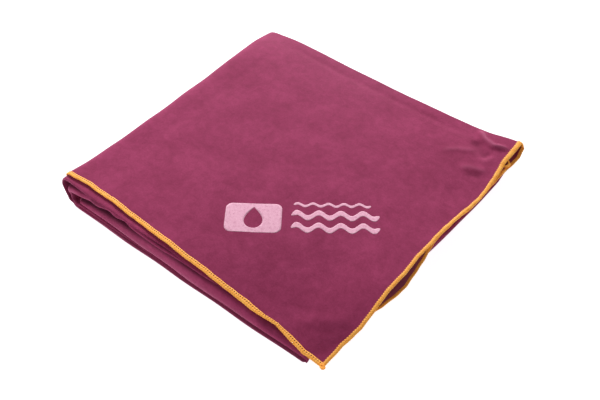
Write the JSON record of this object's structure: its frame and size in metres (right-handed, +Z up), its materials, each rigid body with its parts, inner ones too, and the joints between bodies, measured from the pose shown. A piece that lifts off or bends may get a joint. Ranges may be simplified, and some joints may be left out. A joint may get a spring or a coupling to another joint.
{
  "type": "quick dry towel",
  "caption": "Folded microfibre suede travel towel with overlocked edges, a top flap that folds back and a loose top corner.",
  "frame": {"origin": "centre of the folded towel's footprint, on the surface it rests on", "axes": "+Z up, +X from the back fold to the open front end, +Y from the layered side to the closed side"},
  "size_m": [0.284, 0.2723, 0.0338],
  "materials": {
    "suede_cloth": "brushed suede nap",
    "edge_thread": "overlocked thread",
    "print_ink": "flat printed"
  },
  "bodies": {
    "folded_stack": {"back_fold_long_hem": "edge_thread", "back_fold_ply_one": "suede_cloth", "back_fold_ply_two": "suede_cloth", "bottom_panel_closed_side_folds": "suede_cloth", "bottom_panel_hidden_long_hems": "edge_thread", "bottom_panel_layered_side_folds": "suede_cloth", "bottom_panel_ply_one_middle_third": "suede_cloth", "bottom_panel_ply_one_outer_third": "suede_cloth", "bottom_panel_ply_one_tucked_third": "suede_cloth", "bottom_panel_ply_two_middle_third": "suede_cloth", "bottom_panel_ply_two_outer_third": "suede_cloth", "bottom_panel_ply_two_tucked_third": "suede_cloth", "front_fold_ply_one": "suede_cloth", "front_fold_ply_two": "suede_cloth", "inner_flap_closed_side_folds": "suede_cloth", "inner_flap_half_fold": "suede_cloth", "inner_flap_hidden_long_hems": "edge_thread", "inner_flap_layered_side_folds": "suede_cloth", "inner_flap_ply_one_middle_third": "suede_cloth", "inner_flap_ply_one_outer_third": "suede_cloth", "inner_flap_ply_one_tucked_third": "suede_cloth", "inner_flap_ply_two_middle_third": "suede_cloth", "inner_flap_ply_two_outer_third": "suede_cloth", "inner_flap_ply_two_tucked_third": "suede_cloth"},
    "top_flap": {"printed_mark": "print_ink", "top_flap_closed_side_folds": "suede_cloth", "top_flap_hidden_long_hems": "edge_thread", "top_flap_layered_side_folds": "suede_cloth", "top_flap_ply_one_middle_third": "suede_cloth", "top_flap_ply_one_middle_third_short_hem": "edge_thread", "top_flap_ply_one_tucked_third": "suede_cloth", "top_flap_ply_one_tucked_third_short_hem": "edge_thread", "top_flap_ply_two_middle_third": "suede_cloth", "top_flap_ply_two_middle_third_short_hem": "edge_thread", "top_flap_ply_two_outer_third": "suede_cloth", "top_flap_ply_two_outer_third_short_hem": "edge_thread", "top_flap_ply_two_tucked_third": "suede_cloth", "top_flap_ply_two_tucked_third_short_hem": "edge_thread", "top_layer_long_hem": "edge_thread", "top_layer_panel": "suede_cloth", "top_layer_short_hem": "edge_thread"},
    "loose_corner": {"loose_corner_long_hem": "edge_thread", "loose_corner_panel": "suede_cloth", "loose_corner_short_hem": "edge_thread", "thread_tail": "edge_thread"}
  },
  "joints": [
    {"name": "top_flap_unfold", "type": "hinge", "parent": "folded_stack", "child": "top_flap", "pos_m": [-0.128, 0, 0.01371], "axis": [0, -0.9998, 0.0205], "range_deg": [0, 178], "deforming": ["back_fold_long_hem", "back_fold_ply_one", "back_fold_ply_two"]},
    {"name": "loose_corner_turn", "type": "hinge", "parent": "top_flap", "child": "loose_corner", "pos_m": [0.092, -0.0865, 0.01747], "axis": [-0.7052, -0.7052, 0.0737], "range_deg": [0, 150]}
  ]
}
